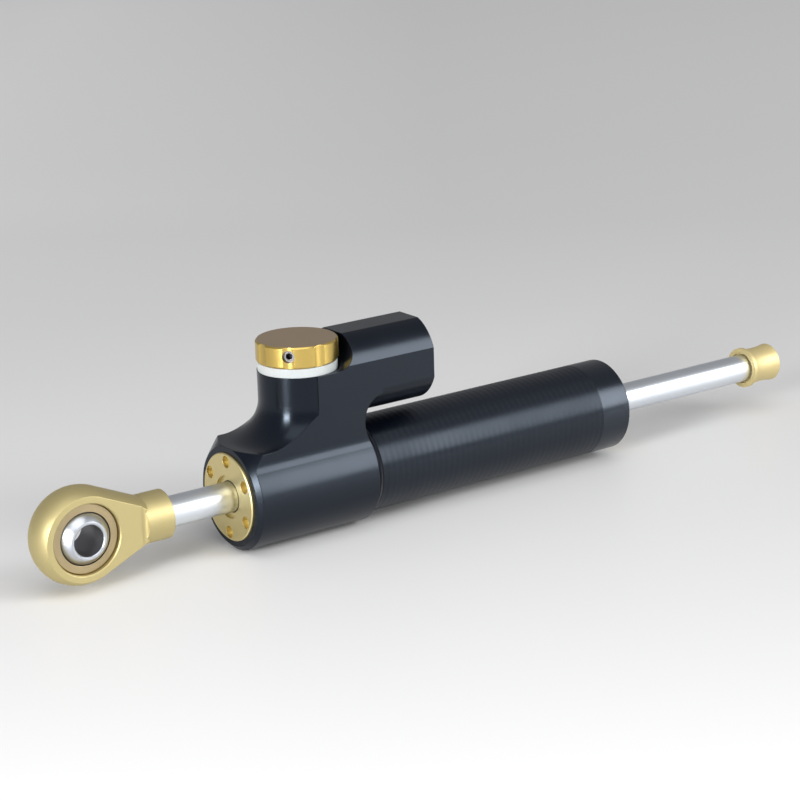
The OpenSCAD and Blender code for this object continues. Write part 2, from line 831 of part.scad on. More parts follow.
// Section of the eye before its flats are milled: local x is the distance from its centre,
// local y runs along its bore
module eye_section(depth, half_t) {
    intersection() {
        translate([eye_r - depth, -half_t]) square([depth, 2 * half_t]);
        union() {
            translate([eye_r - crown_r, 0]) circle(r = crown_r);
            translate([eye_r - depth, -half_t]) square([depth - crown_r, 2 * half_t]);
        }
    }
}

// One of the two straight shoulders between eye and shank
module shoulder() {
    run_out = (neck_h - shank_d / 2 + eps) / cos(neck_angle);
    rotate([0, -neck_angle, 0]) rotate([180, 0, 0])
        linear_extrude(neck_len + run_out) eye_section(eye_r - 1, eye_t / 2 + eps);
}

// Everything that is milled away beside the eye's two flats
module eye_milling() {
    half_t = eye_t / 2;
    end_x = shank_face_x - shank_len - mill_r;
    start_x = eye_x - eye_d;
    for (side = [-1, 1]) {
        translate([face_x + start_x, side > 0 ? half_t : -half_t - eye_t, -eye_d])
            cube([end_x - start_x, eye_t, 2 * eye_d]);
        translate([face_x + end_x, side * (half_t + mill_r), -eye_d])
            cylinder(r = mill_r, h = 2 * eye_d);
    }
}

module rod_end() {
    chamfer = 0.35;
    seat_r = race_d / 2 + fit;
    color("#d0b76b") difference() {
        union() {
            translate([face_x + eye_x, 0, 0]) {
                rotate([90, 0, 0]) rotate_extrude() eye_section(eye_r, eye_t / 2 + 2 * eps);
                shoulder();
                mirror([0, 0, 1]) shoulder();
            }
            disc(shank_d / 2, shank_face_x - shank_len - shank_root, shank_face_x);
        }
        eye_milling();
        translate([face_x + eye_x, 0, 0]) rotate([90, 0, 0]) {
            translate([0, 0, -eye_t]) cylinder(r = seat_r, h = 2 * eye_t);
            for (side = [-1, 1]) scale([1, 1, side]) translate([0, 0, eye_t / 2 - chamfer])
                cylinder(r1 = seat_r, r2 = seat_r + 2 * chamfer, h = 2 * chamfer);
        }
        disc(front_spigot_d / 2 + fit, shank_face_x - front_spigot_len - hole_end, shank_face_x + eps);
    }
}

module bearing_race() {
    c = 0.4;
    r = race_d / 2;
    color("#b08a52") translate([face_x + eye_x, 0, 0]) rotate([90, 0, 0]) difference() {
        rotate_extrude() polygon([
            [0, -race_w / 2], [r - c, -race_w / 2], [r, c - race_w / 2],
            [r, race_w / 2 - c], [r - c, race_w / 2], [0, race_w / 2]
        ]);
        sphere(r = race_sphere_r);
    }
}

module bearing_liner() {
    color("#e4e0d2") translate([face_x + eye_x, 0, 0]) rotate([90, 0, 0]) intersection() {
        difference() {
            sphere(r = race_sphere_r - liner_gap);
            sphere(r = bearing_ball_d / 2 + liner_gap);
        }
        translate([0, 0, -bearing_liner_w / 2]) cylinder(r = eye_r, h = bearing_liner_w);
    }
}

module bearing_ball() {
    c = 0.3;
    w = bearing_ball_w / 2;
    r = bolt_d / 2;
    color("#d5d9de") translate([face_x + eye_x, 0, 0]) rotate([90, 0, 0]) difference() {
        intersection() {
            sphere(d = bearing_ball_d);
            translate([0, 0, -w]) cylinder(r = eye_r, h = 2 * w);
        }
        translate([0, 0, -w - eps]) cylinder(r = r, h = 2 * w + 2 * eps);
        for (side = [-1, 1]) scale([1, 1, side]) translate([0, 0, w - c])
            cylinder(r1 = r, r2 = r + 2 * c, h = 2 * c);
    }
}

module rod_stop_cap() {
    r = cap_body_d / 2;
    waist_r = 30;
    rim_gap = 0.7;
    rim_depth = 1;
    color("#d2b45f") along_rod(cap_face_x) difference() {
        rotate_extrude() {
            square([cap_d / 2, cap_rim]);
            difference() {
                union() {
                    square([r, cap_len - cap_round]);
                    square([r - cap_round, cap_len]);
                    translate([r - cap_round, cap_len - cap_round]) circle(r = cap_round);
                }
                translate([cap_waist_d / 2 + waist_r, cap_waist_x]) circle(r = waist_r, $fn = 256);
            }
        }
        translate([0, 0, -eps]) cylinder(r = rod_r + rim_gap, h = rim_depth + eps);
        translate([0, 0, -eps]) cylinder(r = rod_r + fit, h = cap_socket + eps);
        cylinder(r = rear_spigot_d / 2 + fit, h = cap_socket + rear_spigot_len + hole_end);
    }
}

module reservoir_piston() {
    r = res_r - res_gap;
    groove = groove_len(res_cord);
    mid = res_piston_x + res_piston_len / 2;
    color("#8f959b") difference() {
        barrel_disc(r, res_piston_x, res_piston_x + res_piston_len);
        translate([0, 0, barrel_z])
            sleeve(r + eps, res_groove_r, mid - groove / 2, mid + groove / 2);
        barrel_disc(res_spring_d / 2 - res_wire_d, mid, res_piston_x + res_piston_len + eps);
    }
}

module reservoir_piston_oring() {
    mid = res_piston_x + res_piston_len / 2;
    color("#1b1b1b") translate([0, 0, barrel_z]) along_rod(mid) oring(res_r - touch, res_cord);
}

module reservoir_spring() {
    x0 = res_piston_x + res_piston_len + touch;
    color("#b4b8bc") translate([0, 0, barrel_z]) along_rod(x0)
        coil(res_spring_d / 2, res_wire_d, res_plug_x - x0 - touch, res_turns);
}

module reservoir_plug() {
    r = res_r - fit;
    groove = groove_len(res_cord);
    mid = res_plug_x + res_plug_len / 2;
    color("#24272c") difference() {
        barrel_disc(r, res_plug_x, res_plug_x + res_plug_len);
        translate([0, 0, barrel_z])
            sleeve(r + eps, res_groove_r, mid - groove / 2, mid + groove / 2);
        barrel_disc(fill_d / 2 + fit, res_plug_x - eps, res_plug_x + res_plug_len + eps);
    }
}

module plug_oring() {
    mid = res_plug_x + res_plug_len / 2;
    color("#1b1b1b") translate([0, 0, barrel_z]) along_rod(mid) oring(res_r - touch, res_cord);
}

module plug_circlip() {
    r = res_r + res_clip_groove - fit;
    ear_r = 1.7;
    ear_hole_r = 0.7;
    ear_angle = 20;
    ear_at = r - res_clip_w - 0.4;
    ear_gap = 6;
    color("#5d6166") translate([0, 0, barrel_z]) along_rod(res_clip_x) difference() {
        union() {
            circlip(r, r - res_clip_w, res_clip_t, ear_gap);
            for (side = [-1, 1]) rotate([0, 0, side * ear_angle]) translate([ear_at, 0, 0])
                cylinder(r = ear_r, h = res_clip_t);
        }
        for (side = [-1, 1]) rotate([0, 0, side * ear_angle]) translate([ear_at, 0, -eps])
            cylinder(r = ear_hole_r, h = res_clip_t + 2 * eps, $fn = 32);
    }
}

module fill_screw() {
    sink = 0.2;
    len = res_plug_len - 2 * sink;
    color("#8c9096") translate([0, 0, barrel_z]) along_rod(res_plug_x + sink) difference() {
        cylinder(d = fill_d, h = len);
        translate([0, 0, len]) hex_socket(fill_hex, len - socket_floor);
    }
}

module valve_bush() {
    r = valve_r - fit;
    color("#b08d57") on_valve(valve_floor) difference() {
        tube_shape(r, spindle_r + fit, valve_bush_h);
        for (z = [meter_h, bleed_h]) {
            translate([0, 0, z - channel_r]) tube_shape(r + eps, r - valve_groove, 2 * channel_r);
            translate([0, 0, z]) for (a = [0:90:270]) rotate([0, 0, a]) rotate([0, 90, 0])
                cylinder(r = channel_r * 0.8, h = r + eps, $fn = 32);
        }
    }
}

module valve_spindle() {
    r = spindle_r;
    head_r = valve_r - fit;
    groove = groove_len(spindle_cord);
    bottom = valve_floor + spindle_gap;
    stem_top = knob_top - knob_cap - fit;
    color("#a9adb2") difference() {
        union() {
            on_valve(bottom) cylinder(r = r, h = head_z - bottom + eps);
            on_valve(head_z) cylinder(r = head_r, h = spindle_head_h);
            on_valve(head_z + eps) cylinder(r = stem_r, h = stem_top - head_z - eps);
        }
        on_valve(head_z + (spindle_head_h - groove) / 2)
            tube_shape(head_r + eps, head_r - touch - spindle_cord, groove);
        on_valve(bottom - eps) cylinder(r = r / 2, h = bleed_h + 1);
        on_valve(valve_floor + meter_h) rotate([0, 90, 0])
            cylinder(r = channel_r * 0.7, h = r + eps, $fn = 32);
        on_valve(valve_floor + bleed_h) rotate([0, 90, 0])
            cylinder(r = channel_r * 0.4, h = r + eps, $fn = 32);
    }
}

module spindle_oring() {
    color("#1b1b1b") on_valve(head_z + spindle_head_h / 2) oring(valve_r - touch, spindle_cord - touch);
}

module spindle_circlip() {
    r = valve_groove_r - fit;
    color("#5d6166") on_valve(valve_clip_z) circlip(r, r - valve_clip_w, valve_clip_t, clip_mouth);
}

module knob_ring() {
    color("#f0f2f1") on_valve(tower_top)
        tube_shape(washer_d / 2, washer_d / 2 - washer_wall, washer_h);
}

// Outline of the fluted knob, one slice
module knob_outline(inset) {
    difference() {
        circle(r = knob_d / 2 - inset);
        for (i = [0:knob_flutes - 1])
            rotate(grub_angle + 360 * i / knob_flutes)
                translate([knob_d / 2 - flute_depth + flute_r, 0]) circle(r = flute_r + inset);
    }
}

module adjuster_knob() {
    r = knob_d / 2;
    c = knob_chamfer;
    color("#dcb94f") difference() {
        union() {
            intersection() {
                on_valve(knob_z) linear_extrude(knob_h) knob_outline(0);
                on_valve(knob_z) rotate_extrude() polygon([
                    [0, 0], [r - c, 0], [r, c], [r, knob_h - c], [r - c, knob_h], [0, knob_h]
                ]);
            }
            on_valve(hub_z) cylinder(r = hub_r, h = knob_z - hub_z + 1);
        }
        on_valve(hub_z - eps) cylinder(r = stem_r + touch, h = knob_top - knob_cap - hub_z + eps);
        on_valve(hub_z - eps) rotate([0, 0, click_angle]) translate([track_r, 0, 0])
            cylinder(r = ball_r + fit, h = click_top - hub_z + eps);
        on_valve(knob_top - grub_drop) rotate([0, 0, grub_angle]) rotate([0, 90, 0])
            cylinder(r = grub_d / 2 + touch, h = r + eps);
    }
}

module knob_grub_screw() {
    start = stem_r + fit;
    len = knob_d / 2 - flute_depth - grub_sink - start;
    color("#8c9096") on_valve(knob_top - grub_drop) rotate([0, 0, grub_angle]) rotate([0, 90, 0])
        translate([0, 0, start]) difference() {
            cylinder(d = grub_d, h = len);
            translate([0, 0, len]) hex_socket(grub_hex, 2.2);
        }
}

module detent_ball() {
    color("#c9ccd0") on_valve(ball_z) rotate([0, 0, click_angle]) translate([track_r, 0, 0])
        sphere(r = ball_r, $fn = 48);
}

module detent_spring() {
    color("#b4b8bc") on_valve(click_spring_z) rotate([0, 0, click_angle]) translate([track_r, 0, 0])
        coil(ball_r - fit - click_wire_d, click_wire_d, click_top - click_spring_z - fit, click_turns);
}

valve_housing();
outer_tube();
inner_cylinder();
tube_oring();
front_gland();
front_wiper();
front_rod_seal();
front_rod_bush();
front_gland_oring();
rear_gland();
rear_wiper();
rear_rod_seal();
rear_rod_bush();
rear_gland_oring();
piston_rod();
piston();
piston_circlips();
piston_band();
rod_end();
bearing_race();
bearing_liner();
bearing_ball();
rod_stop_cap();
reservoir_piston();
reservoir_piston_oring();
reservoir_spring();
reservoir_plug();
plug_oring();
plug_circlip();
fill_screw();
valve_bush();
valve_spindle();
spindle_oring();
spindle_circlip();
knob_ring();
adjuster_knob();
knob_grub_screw();
detent_ball();
detent_spring();
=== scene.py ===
"""Looks of a linear motorcycle steering damper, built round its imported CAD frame.

Lengths are metres. X runs along the rod towards the stop cap and Z runs up through the click adjuster.
"""

import logging
import math
from dataclasses import dataclass, field
from enum import Enum
from typing import Any, Callable, Optional, Sequence

import bpy
from mathutils import Matrix, Vector


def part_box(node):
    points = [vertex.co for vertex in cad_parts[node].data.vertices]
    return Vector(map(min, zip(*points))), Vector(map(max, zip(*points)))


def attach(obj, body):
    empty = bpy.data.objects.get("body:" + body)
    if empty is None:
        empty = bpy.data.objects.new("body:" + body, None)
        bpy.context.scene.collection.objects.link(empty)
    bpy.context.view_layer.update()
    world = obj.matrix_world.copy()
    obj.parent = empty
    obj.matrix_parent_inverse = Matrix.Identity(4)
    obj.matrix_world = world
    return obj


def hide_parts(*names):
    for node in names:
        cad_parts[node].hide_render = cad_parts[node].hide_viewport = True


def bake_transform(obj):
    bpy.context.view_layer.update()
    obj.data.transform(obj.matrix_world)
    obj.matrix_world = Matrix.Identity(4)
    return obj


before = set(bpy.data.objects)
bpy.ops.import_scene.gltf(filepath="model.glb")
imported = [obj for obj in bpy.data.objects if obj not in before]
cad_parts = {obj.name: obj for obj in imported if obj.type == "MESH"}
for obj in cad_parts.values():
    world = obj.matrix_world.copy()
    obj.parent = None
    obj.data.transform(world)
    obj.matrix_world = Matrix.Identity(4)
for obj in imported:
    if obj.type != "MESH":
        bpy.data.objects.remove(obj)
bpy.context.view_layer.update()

log = logging.getLogger("damper")
Colour = tuple[float, float, float]
Point = tuple[float, float, float]
Span = tuple[float, float]

MM = 0.001
# Points closer together than this count as one
SAME_PLACE = 0.001 * MM

# Place along X of the front gland's face
FACE_X = -102.5 * MM

# Points on the axes of the rod end's eye, the adjuster and the reservoir barrel
EYE_CENTRE = (-156.1 * MM, 0.0, 0.0)
KNOB_CENTRE = (-74.0 * MM, 0.0, 0.0)
BARREL_CENTRE = (0.0, 0.0, 33.8 * MM)

# Dye of the black anodised pieces and the tint of their reflections
BLACK_DYE = (0.002, 0.003, 0.006)
BLACK_TINT = (0.70, 0.83, 1.0)


class Grain(Enum):
    """Ways in which a surface was last worked."""

    TURNED_X = "lines round the rod's direction"
    TURNED_Y = "lines round the eye's bore"
    TURNED_Z = "lines round the adjuster"
    MILLED = "long lines on the profile, turned lines elsewhere"
    BLASTED = "fine even grain"
    MOULDED = "faint soft ripple"


@dataclass(frozen=True)
class Finish:
    """One surface finish.

    Attributes:
        name: Name of the material.
        colour: Colour as linear light.
        metallic: 1 for bright metal, less for matt gold, 0 for black anodising, plastic and rubber.
        roughness: Middle roughness.
        spread: How far the roughness wanders to both sides.
        ior: Index of refraction of the surface.
        tint: Tint of the plain reflection.
        stretch: Anisotropy that the lines give the highlights.
        grain: How the surface was last worked.
        centre: A point on the axis that the turned lines run round.
        pitch: Distance between the lines or grains.
        depth: Height of the bump.
        edge: Radius of the broken edges, 0 for none.
        turned: Roughness of a milled piece's turned places, if it differs.
        top_tone_and_shade: Colour of faces that look up, if it differs: partly their own browner tone,
            partly painted shade for the dim reflection they show.
        bore: Radius round the centre's axis inside which the surface is rougher and darker.
        bore_colour: Colour of that bore.
        soft: Subsurface weight.
    """

    name: str
    colour: Colour
    metallic: float = 1.0
    roughness: float = 0.3
    spread: float = 0.05
    ior: float = 1.5
    tint: Colour = (1.0, 1.0, 1.0)
    stretch: float = 0.0
    grain: Grain = Grain.BLASTED
    centre: Point = (0.0, 0.0, 0.0)
    pitch: float = 0.3 * MM
    depth: float = 0.002 * MM
    edge: float = 0.15 * MM
    turned: Optional[float] = None
    top_tone_and_shade: Optional[Colour] = None
    bore: float = 0.0
    bore_colour: Colour = (0.2, 0.2, 0.2)
    soft: float = 0.0


class Sketch:
    """Shorthand for building one shader node tree."""

    def __init__(self, tree: bpy.types.NodeTree) -> None:
        """Takes a material's, world's or group's node tree to build in."""
        self.tree = tree

    def add(self, kind: str, inputs: Optional[dict[Any, Any]] = None, **settings: Any) -> bpy.types.Node:
        """Adds a node.

        Args:
            kind: The node's type name without its ShaderNode prefix.
            inputs: Values or sockets for the node's inputs, by name or number.
            **settings: Properties of the node.

        Returns:
            The new node.
        """
        node = self.tree.nodes.new(kind if kind.startswith("Node") else "ShaderNode" + kind)
        for key, value in settings.items():
            setattr(node, key, value)
        for key, value in (inputs or {}).items():
            if isinstance(value, bpy.types.NodeSocket):
                self.tree.links.new(value, node.inputs[key])
            else:
                node.inputs[key].default_value = value
        return node

    def math(self, operation: str, a: Any, b: Any = 0.0, c: Any = 0.0) -> bpy.types.NodeSocket:
        """The result of one step of arithmetic on values or sockets."""
        return self.add("Math", {0: a, 1: b, 2: c}, operation=operation).outputs[0]

    def vector(self, operation: str, a: Any, b: Any = (0.0, 0.0, 0.0)) -> bpy.types.NodeSocket:
        """The result of one step of vector arithmetic, a value for lengths and dot products."""
        node = self.add("VectorMath", {0: a, 1: b}, operation=operation)
        return node.outputs["Value" if operation in ("LENGTH", "DOT_PRODUCT") else "Vector"]

    def ramp(
        self, value: Any, low: float, high: float, to_low: float = 0.0, to_high: float = 1.0
    ) -> bpy.types.NodeSocket:
        """A value mapped from the range low to high onto to_low to to_high, and clamped there."""
        return self.add("MapRange", {0: value, 1: low, 2: high, 3: to_low, 4: to_high}).outputs[0]

    def blend(self, share: Any, a: Any, b: Any) -> bpy.types.NodeSocket:
        """Two colours mixed by the share of the second."""
        return self.add("Mix", {0: share, 6: a, 7: b}, data_type="RGBA").outputs[2]

    def pick(self, share: Any, a: Any, b: Any) -> bpy.types.NodeSocket:
        """Two values mixed by the share of the second."""
        return self.add("Mix", {0: share, 2: a, 3: b}, data_type="FLOAT").outputs[0]

    def pick_vector(self, share: Any, a: Any, b: Any) -> bpy.types.NodeSocket:
        """Two vectors mixed by the share of the second."""
        return self.add("Mix", {0: share, 4: a, 5: b}, data_type="VECTOR").outputs[1]

    def group(self, tree: bpy.types.NodeTree, inputs: dict[str, Any]) -> bpy.types.Node:
        """A node group placed with the values or sockets that its named inputs get."""
        return self.add("Group", inputs, node_tree=tree)


@dataclass
class Workshop:
    """The shared surface effects, one node group each.

    Attributes:
        made: Groups made so far, by name.
        patch_scale: Patches of stronger and weaker cut lines to the metre.
        patch_span: Noise values between which the lines go from weakest to strongest.
        weakest: Height of the weakest lines, where the strongest have 1.
        wear_scale: Patches of handling to the metre.
        wear_span: Noise values between which the surface goes from fresh to dull.
    """

    made: dict[str, bpy.types.NodeTree] = field(default_factory=dict)
    patch_scale: float = 160.0
    patch_span: Span = (0.3, 0.7)
    weakest: float = 0.65
    wear_scale: float = 45.0
    wear_span: Span = (0.32, 0.68)

    def _start(
        self, name: str, inputs: dict[str, str], outputs: dict[str, str]
    ) -> tuple[Sketch, Any, Any]:
        """Starts a group.

        Args:
            name: Name of the group.
            inputs: Socket kinds by input name.
            outputs: Socket kinds by output name.

        Returns:
            The group's sketch, the sockets that bring its inputs and the sockets that take its outputs.
        """
        tree = bpy.data.node_groups.new(name, "ShaderNodeTree")
        for key, kind in inputs.items():
            tree.interface.new_socket(key, in_out="INPUT", socket_type="NodeSocket" + kind)
        for key, kind in outputs.items():
            tree.interface.new_socket(key, in_out="OUTPUT", socket_type="NodeSocket" + kind)
        self.made[name] = tree
        sketch = Sketch(tree)
        return sketch, sketch.add("NodeGroupInput").outputs, sketch.add("NodeGroupOutput").inputs

    def cut_lines(self) -> bpy.types.NodeTree:
        """Fine parallel lines that a cutting tool leaves.

        Returns:
            A group that turns a distance across the lines into their height.
        """
        if "cut_lines" in self.made:
            return self.made["cut_lines"]
        sketch, given, result = self._start(
            "cut_lines", {"Across": "Float", "Pitch": "Float", "Place": "Vector"}, {"Height": "Float"}
        )
        step = sketch.math("DIVIDE", given["Across"], given["Pitch"])
        fine = sketch.add("TexNoise", {"W": step, "Scale": 1.0, "Detail": 2.0}, noise_dimensions="1D")
        wide = sketch.add("TexNoise", {"Vector": given["Place"], "Scale": self.patch_scale, "Detail": 1.0})
        strength = sketch.ramp(wide.outputs[0], *self.patch_span, self.weakest, 1.0)
        sketch.tree.links.new(sketch.math("MULTIPLY", fine.outputs[0], strength), result["Height"])
        return sketch.tree

    def blast_grain(self) -> bpy.types.NodeTree:
        """Fine even grain of a blasted or moulded surface.

        Returns:
            A group that gives the grain's height at a place.
        """
        if "blast_grain" in self.made:
            return self.made["blast_grain"]
        sketch, given, result = self._start(
            "blast_grain", {"Place": "Vector", "Size": "Float"}, {"Height": "Float"}
        )
        scale = sketch.math("DIVIDE", 1.0, given["Size"])
        noise = sketch.add("TexNoise", {"Vector": given["Place"], "Scale": scale, "Detail": 2.0})
        sketch.tree.links.new(noise.outputs[0], result["Height"])
        return sketch.tree

    def handling(self) -> bpy.types.NodeTree:
        """Slow changes that handling leaves in a surface.

        Returns:
            A group that gives a wandering roughness and a mask of the duller places.
        """
        if "handling" in self.made:
            return self.made["handling"]
        sketch, given, result = self._start(
            "handling",
            {"Place": "Vector", "Middle": "Float", "Spread": "Float"},
            {"Roughness": "Float", "Mask": "Float"},
        )
        slow = sketch.add("TexNoise", {"Vector": given["Place"], "Scale": self.wear_scale, "Detail": 3.0})
        mask = sketch.ramp(slow.outputs[0], *self.wear_span)
        offset = sketch.ramp(mask, 0.0, 1.0, -1.0, 1.0)
        rough = sketch.math("MULTIPLY_ADD", offset, given["Spread"], given["Middle"])
        sketch.tree.links.new(rough, result["Roughness"])
        sketch.tree.links.new(mask, result["Mask"])
        return sketch.tree


@dataclass(frozen=True)
class GrainSockets:
    """What a material reads about the lines on its surface.

    Attributes:
        across: Distance across the lines.
        radius: Distance from the axis that the turned lines run round.
        tangent: Direction across the lines, None where there are no lines.
        profile: Mask of a milled piece's profile, None on other pieces.
    """

    across: Any = 0.0
    radius: Any = 1.0
    tangent: Optional[bpy.types.NodeSocket] = None
    profile: Optional[bpy.types.NodeSocket] = None


@dataclass
class Dresser:
    """Makes the materials of the finishes.

    Attributes:
        shop: Maker of the shared surface effects.
        made: Materials made so far, by name.
        dull_share: Most that the duller places take of the darker colour.
        dull_tone: Brightness of the darker colour.
        bore_roughness: Roughness inside a bore.
        top_shade_span: Upward parts of the normal between which the top colour (own tone and painted shade)
            sets in.
        end_face: Part of the normal along the axis beyond which a face is an end face.
        profile_tilt: Largest part of the normal along X on a milled profile.
        soft_depth: How deep light goes into a soft material.
        bevel_samples: Samples that the broken edges take.
    """

    shop: Workshop
    made: dict[str, bpy.types.Material] = field(default_factory=dict)
    dull_share: float = 0.35
    dull_tone: float = 0.9
    bore_roughness: float = 0.5
    top_shade_span: Span = (0.9, 0.97)
    end_face: float = 0.7
    profile_tilt: float = 0.03
    soft_depth: float = 1.5 * MM
    bevel_samples: int = 8

    def material(self, finish: Finish) -> bpy.types.Material:
        """The material of a finish, built on its first use.

        Args:
            finish: The finish.

        Returns:
            Its material.
        """
        if finish.name not in self.made:
            self.made[finish.name] = self._build(finish)
        return self.made[finish.name]

    def dress(self, piece: bpy.types.Object, finish: Finish) -> None:
        """Gives a piece or CAD node one finish all over."""
        piece.data.materials.clear()
        piece.data.materials.append(self.material(finish))

    def dress_part(self, piece: bpy.types.Object, finish: Finish, wanted: Callable[[Vector], bool]) -> None:
        """Gives some faces of a dressed piece a second finish.

        Args:
            piece: The piece or CAD node.
            finish: The second finish.
            wanted: Tells from a face's centre whether it gets the finish.
        """
        piece.data.materials.append(self.material(finish))
        for face in piece.data.polygons:
            if wanted(face.center):
                face.material_index = len(piece.data.materials) - 1

    def _build(self, finish: Finish) -> bpy.types.Material:
        """Builds the node tree of a finish.

        Args:
            finish: The finish.

        Returns:
            The new material.
        """
        material = bpy.data.materials.new(finish.name)
        material.use_nodes = True
        material.node_tree.nodes.clear()
        sketch = Sketch(material.node_tree)
        coords = sketch.add("TexCoord").outputs
        place, normal = coords["Object"], coords["Normal"]
        grain = self._grain(sketch, finish, place, normal)
        in_bore = sketch.math("LESS_THAN", grain.radius, finish.bore) if finish.bore > 0 else None
        middle = self._middle(sketch, finish, grain.profile, in_bore)
        worn = sketch.group(
            self.shop.handling(), {"Place": place, "Middle": middle, "Spread": finish.spread}
        ).outputs
        shader = sketch.add(
            "BsdfPrincipled",
            {
                "Base Color": self._base(sketch, finish, normal, worn["Mask"], in_bore),
                "Metallic": finish.metallic,
                "Roughness": worn["Roughness"],
                "IOR": finish.ior,
                "Specular Tint": self._rgba(finish.tint),
                "Anisotropic": finish.stretch,
                "Subsurface Weight": finish.soft,
                "Subsurface Scale": self.soft_depth,
                "Normal": self._bumps(sketch, finish, place, grain.across),
            },
        )
        if finish.stretch > 0 and grain.tangent is not None:
            sketch.tree.links.new(grain.tangent, shader.inputs["Tangent"])
        sketch.add("OutputMaterial", {"Surface": shader.outputs[0]})
        return material

    @staticmethod
    def _rgba(colour: Colour, scale: float = 1.0) -> tuple[float, float, float, float]:
        """A colour with its alpha, scaled."""
        return (colour[0] * scale, colour[1] * scale, colour[2] * scale, 1.0)

    def _middle(self, sketch: Sketch, finish: Finish, profile: Any, in_bore: Any) -> Any:
        """The middle roughness at each place.

        Args:
            sketch: The material's sketch.
            finish: The finish.
            profile: Mask of a milled profile, or None.
            in_bore: Mask of a bore, or None.

        Returns:
            The roughness or its socket.
        """
        middle: Any = finish.roughness
        if profile is not None and finish.turned is not None:
            middle = sketch.pick(profile, finish.turned, finish.roughness)
        if in_bore is not None:
            middle = sketch.pick(in_bore, middle, self.bore_roughness)
        return middle

    def _base(
        self, sketch: Sketch, finish: Finish, normal: Any, mask: Any, in_bore: Any
    ) -> bpy.types.NodeSocket:
        """The colour at each place.

        Args:
            sketch: The material's sketch.
            finish: The finish.
            normal: Socket of the object-space normal.
            mask: Socket of the duller places' mask.
            in_bore: Mask of a bore, or None.

        Returns:
            The colour's socket.
        """
        share = sketch.math("MULTIPLY", mask, self.dull_share)
        base = sketch.blend(share, self._rgba(finish.colour), self._rgba(finish.colour, self.dull_tone))
        # Faces that look up take the top colour: partly the top's own tone, partly painted shade for its
        # dim reflection.
        if finish.top_tone_and_shade is not None:
            up = sketch.add("SeparateXYZ", {0: normal}).outputs[2]
            base = sketch.blend(sketch.ramp(up, *self.top_shade_span), base, self._rgba(finish.top_tone_and_shade))
        if in_bore is not None:
            base = sketch.blend(in_bore, base, self._rgba(finish.bore_colour))
        return base

    def _bumps(self, sketch: Sketch, finish: Finish, place: Any, across: Any) -> bpy.types.NodeSocket:
        """The normal with the grain's bumps and the broken edges.

        Args:
            sketch: The material's sketch.
            finish: The finish.
            place: Socket of the object coordinates.
            across: Distance across the lines, or its socket.

        Returns:
            The normal's socket.
        """
        if finish.grain in (Grain.BLASTED, Grain.MOULDED):
            grain = sketch.group(self.shop.blast_grain(), {"Place": place, "Size": finish.pitch})
        else:
            grain = sketch.group(
                self.shop.cut_lines(), {"Across": across, "Pitch": finish.pitch, "Place": place}
            )
        bump = sketch.add("Bump", {"Height": grain.outputs[0], "Strength": 1.0, "Distance": finish.depth})
        if finish.edge > 0:
            edge = sketch.add("Bevel", {"Radius": finish.edge}, samples=self.bevel_samples)
            sketch.tree.links.new(edge.outputs[0], bump.inputs["Normal"])
        return bump.outputs[0]

    def _grain(self, sketch: Sketch, finish: Finish, place: Any, normal: Any) -> GrainSockets:
        """Where the lines of a turned or milled surface run.

        Args:
            sketch: The material's sketch.
            finish: The finish.
            place: Socket of the object coordinates.
            normal: Socket of the object-space normal.

        Returns:
            The sockets that the rest of the material reads.
        """
        if finish.grain in (Grain.BLASTED, Grain.MOULDED):
            return GrainSockets()
        axis = {
            Grain.TURNED_X: (1.0, 0.0, 0.0),
            Grain.TURNED_Y: (0.0, 1.0, 0.0),
            Grain.TURNED_Z: (0.0, 0.0, 1.0),
            Grain.MILLED: (0.0, 0.0, 1.0),
        }[finish.grain]
        local = sketch.vector("SUBTRACT", place, finish.centre)
        round_axis = sketch.vector("CROSS_PRODUCT", axis, local)
        along = sketch.vector("DOT_PRODUCT", local, axis)
        radius = sketch.vector("LENGTH", round_axis)
        facing = sketch.math("ABSOLUTE", sketch.vector("DOT_PRODUCT", normal, axis))
        across = sketch.pick(sketch.math("GREATER_THAN", facing, self.end_face), along, radius)
        run = sketch.vector("NORMALIZE", round_axis)
        profile = None
        if finish.grain is Grain.MILLED:
            tilt = sketch.math("ABSOLUTE", sketch.add("SeparateXYZ", {0: normal}).outputs[0])
            profile = sketch.math("LESS_THAN", tilt, self.profile_tilt)
            parts = sketch.add("SeparateXYZ", {0: place}).outputs
            across = sketch.pick(profile, across, sketch.math("ADD", parts[1], parts[2]))
            run = sketch.pick_vector(profile, run, (1.0, 0.0, 0.0))
        tangent = sketch.add(
            "VectorTransform", {0: sketch.vector("CROSS_PRODUCT", normal, run)},
            vector_type="VECTOR", convert_from="OBJECT", convert_to="WORLD",
        )
        return GrainSockets(across, radius, tangent.outputs[0], profile)


